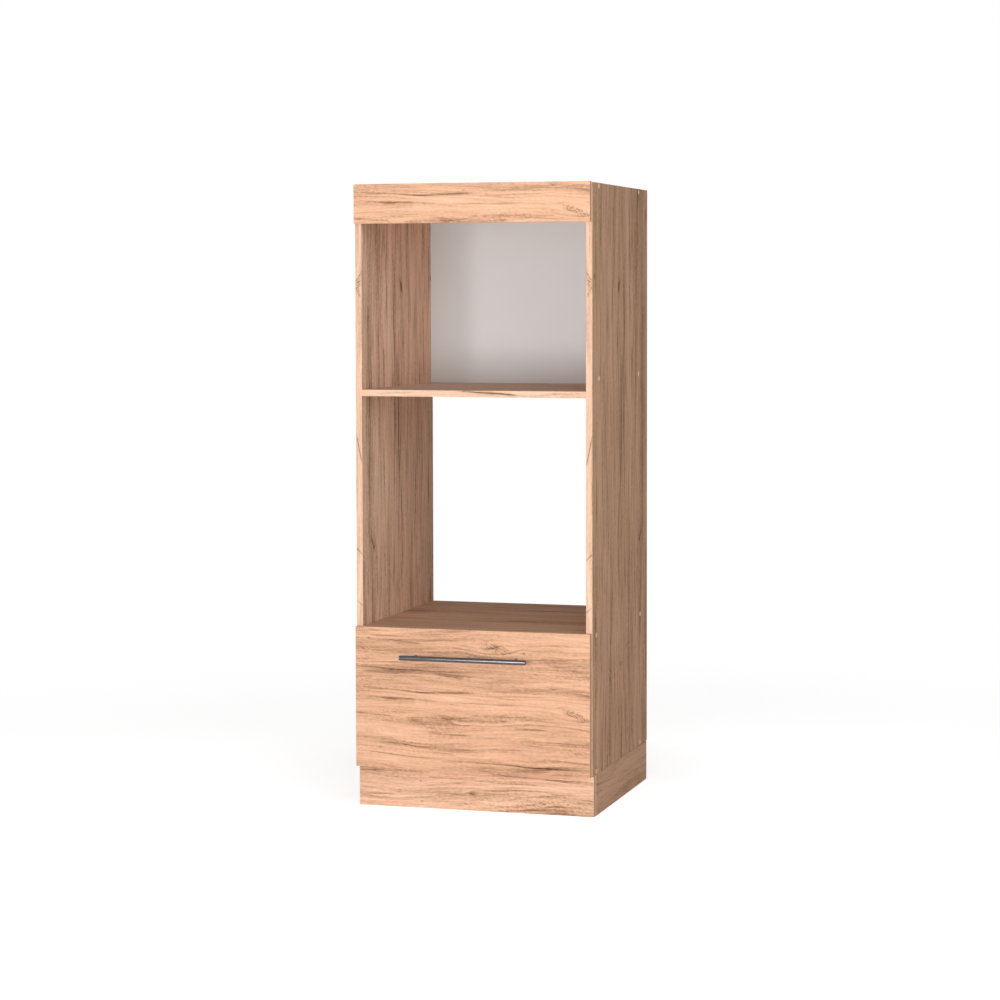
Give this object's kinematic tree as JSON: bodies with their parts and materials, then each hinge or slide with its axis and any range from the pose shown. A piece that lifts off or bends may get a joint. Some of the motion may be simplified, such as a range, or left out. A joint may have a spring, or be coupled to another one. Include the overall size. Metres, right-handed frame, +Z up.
{
  "type": "microwave and oven cabinet",
  "caption": "Tall free-standing kitchen cabinet with an open-backed oven niche, a microwave niche above it and a deep drawer below, on a plinth.",
  "frame": {"origin": "centre of the bounding box's bottom face, on the floor", "axes": "+X to the right seen from the front, +Y towards the wall behind, +Z up"},
  "size_m": [0.603, 0.613, 1.5315],
  "materials": {
    "oak_upright": "matt oak-effect laminate, grain upright",
    "oak_across": "matt oak-effect laminate, grain across",
    "oak_depth": "matt oak-effect laminate, grain front to back",
    "drawer_board": "matt oak-effect laminate",
    "hardboard": "smooth grey-white lacquer on thin hardboard",
    "cap_plastic": "smooth",
    "zinc_steel": "zinc plated",
    "beech": "fluted beech",
    "runner_enamel": "white enamel",
    "roller_nylon": "moulded nylon",
    "bumper_rubber": "soft clear",
    "handle_steel": "brushed along the bar"
  },
  "bodies": {
    "cabinet": {"side_panel_left": "oak_upright", "side_panel_right": "oak_upright", "top_panel": "oak_across", "bottom_panel": "oak_across", "oven_shelf": "oak_across", "microwave_shelf": "oak_across", "upper_back_panel": "hardboard", "lower_back_panel": "hardboard", "fascia": "oak_across", "plinth_front": "oak_across", "plinth_side_left": "oak_depth", "plinth_side_right": "oak_depth", "plinth_rear": "oak_across", "confirmat_screws_left": "zinc_steel", "confirmat_screws_right": "zinc_steel", "screw_caps_left": "cap_plastic", "screw_caps_right": "cap_plastic", "cam_bolts": "zinc_steel", "cam_locks": "zinc_steel", "shelf_dowels": "beech", "fascia_brackets": "zinc_steel", "fascia_screws": "zinc_steel", "plinth_corner_brackets": "zinc_steel", "plinth_top_brackets": "zinc_steel", "plinth_screws": "zinc_steel", "runner_cabinet_left": "runner_enamel", "runner_cabinet_right": "runner_enamel", "runner_screws_cabinet": "zinc_steel", "front_roller_rivets": "zinc_steel"},
    "drawer": {"drawer_front": "oak_across", "drawer_inner_front": "drawer_board", "drawer_side_left": "drawer_board", "drawer_side_right": "drawer_board", "drawer_back": "drawer_board", "drawer_floor": "hardboard", "drawer_confirmats": "zinc_steel", "drawer_front_screws": "zinc_steel", "drawer_floor_nails": "zinc_steel", "drawer_bumpers": "bumper_rubber", "runner_drawer_left": "runner_enamel", "runner_drawer_right": "runner_enamel", "runner_screws_drawer": "zinc_steel", "rear_roller_rivets": "zinc_steel", "handle_bar": "handle_steel", "handle_post_left": "handle_steel", "handle_post_right": "handle_steel", "handle_screws": "zinc_steel"},
    "front_roller_left": {"front_roller_left": "roller_nylon"},
    "front_roller_right": {"front_roller_right": "roller_nylon"},
    "rear_roller_left": {"rear_roller_left": "roller_nylon"},
    "rear_roller_right": {"rear_roller_right": "roller_nylon"}
  },
  "joints": [
    {"name": "drawer_slide", "type": "slide", "parent": "cabinet", "child": "drawer", "axis": [0, -1, 0], "range_m": [0, 0.36]},
    {"name": "front_roller_left_spin", "type": "hinge", "parent": "cabinet", "child": "front_roller_left", "pos_m": [-0.2783, -0.2385, 0.148], "axis": [1, 0, 0], "range_deg": [-10, 2083]},
    {"name": "front_roller_right_spin", "type": "hinge", "parent": "cabinet", "child": "front_roller_right", "pos_m": [0.2783, -0.2385, 0.148], "axis": [1, 0, 0], "range_deg": [-10, 2083]},
    {"name": "rear_roller_left_spin", "type": "hinge", "parent": "drawer", "child": "rear_roller_left", "pos_m": [-0.2776, 0.2315, 0.148], "axis": [1, 0, 0], "range_deg": [-10, 2083]},
    {"name": "rear_roller_right_spin", "type": "hinge", "parent": "drawer", "child": "rear_roller_right", "pos_m": [0.2776, 0.2315, 0.148], "axis": [1, 0, 0], "range_deg": [-10, 2083]}
  ],
  "couplings": [
    {"joint": "front_roller_left_spin", "follows": "drawer_slide", "rad_per_m": 100},
    {"joint": "front_roller_right_spin", "follows": "drawer_slide", "rad_per_m": 100},
    {"joint": "rear_roller_left_spin", "follows": "drawer_slide", "rad_per_m": 100},
    {"joint": "rear_roller_right_spin", "follows": "drawer_slide", "rad_per_m": 100}
  ]
}
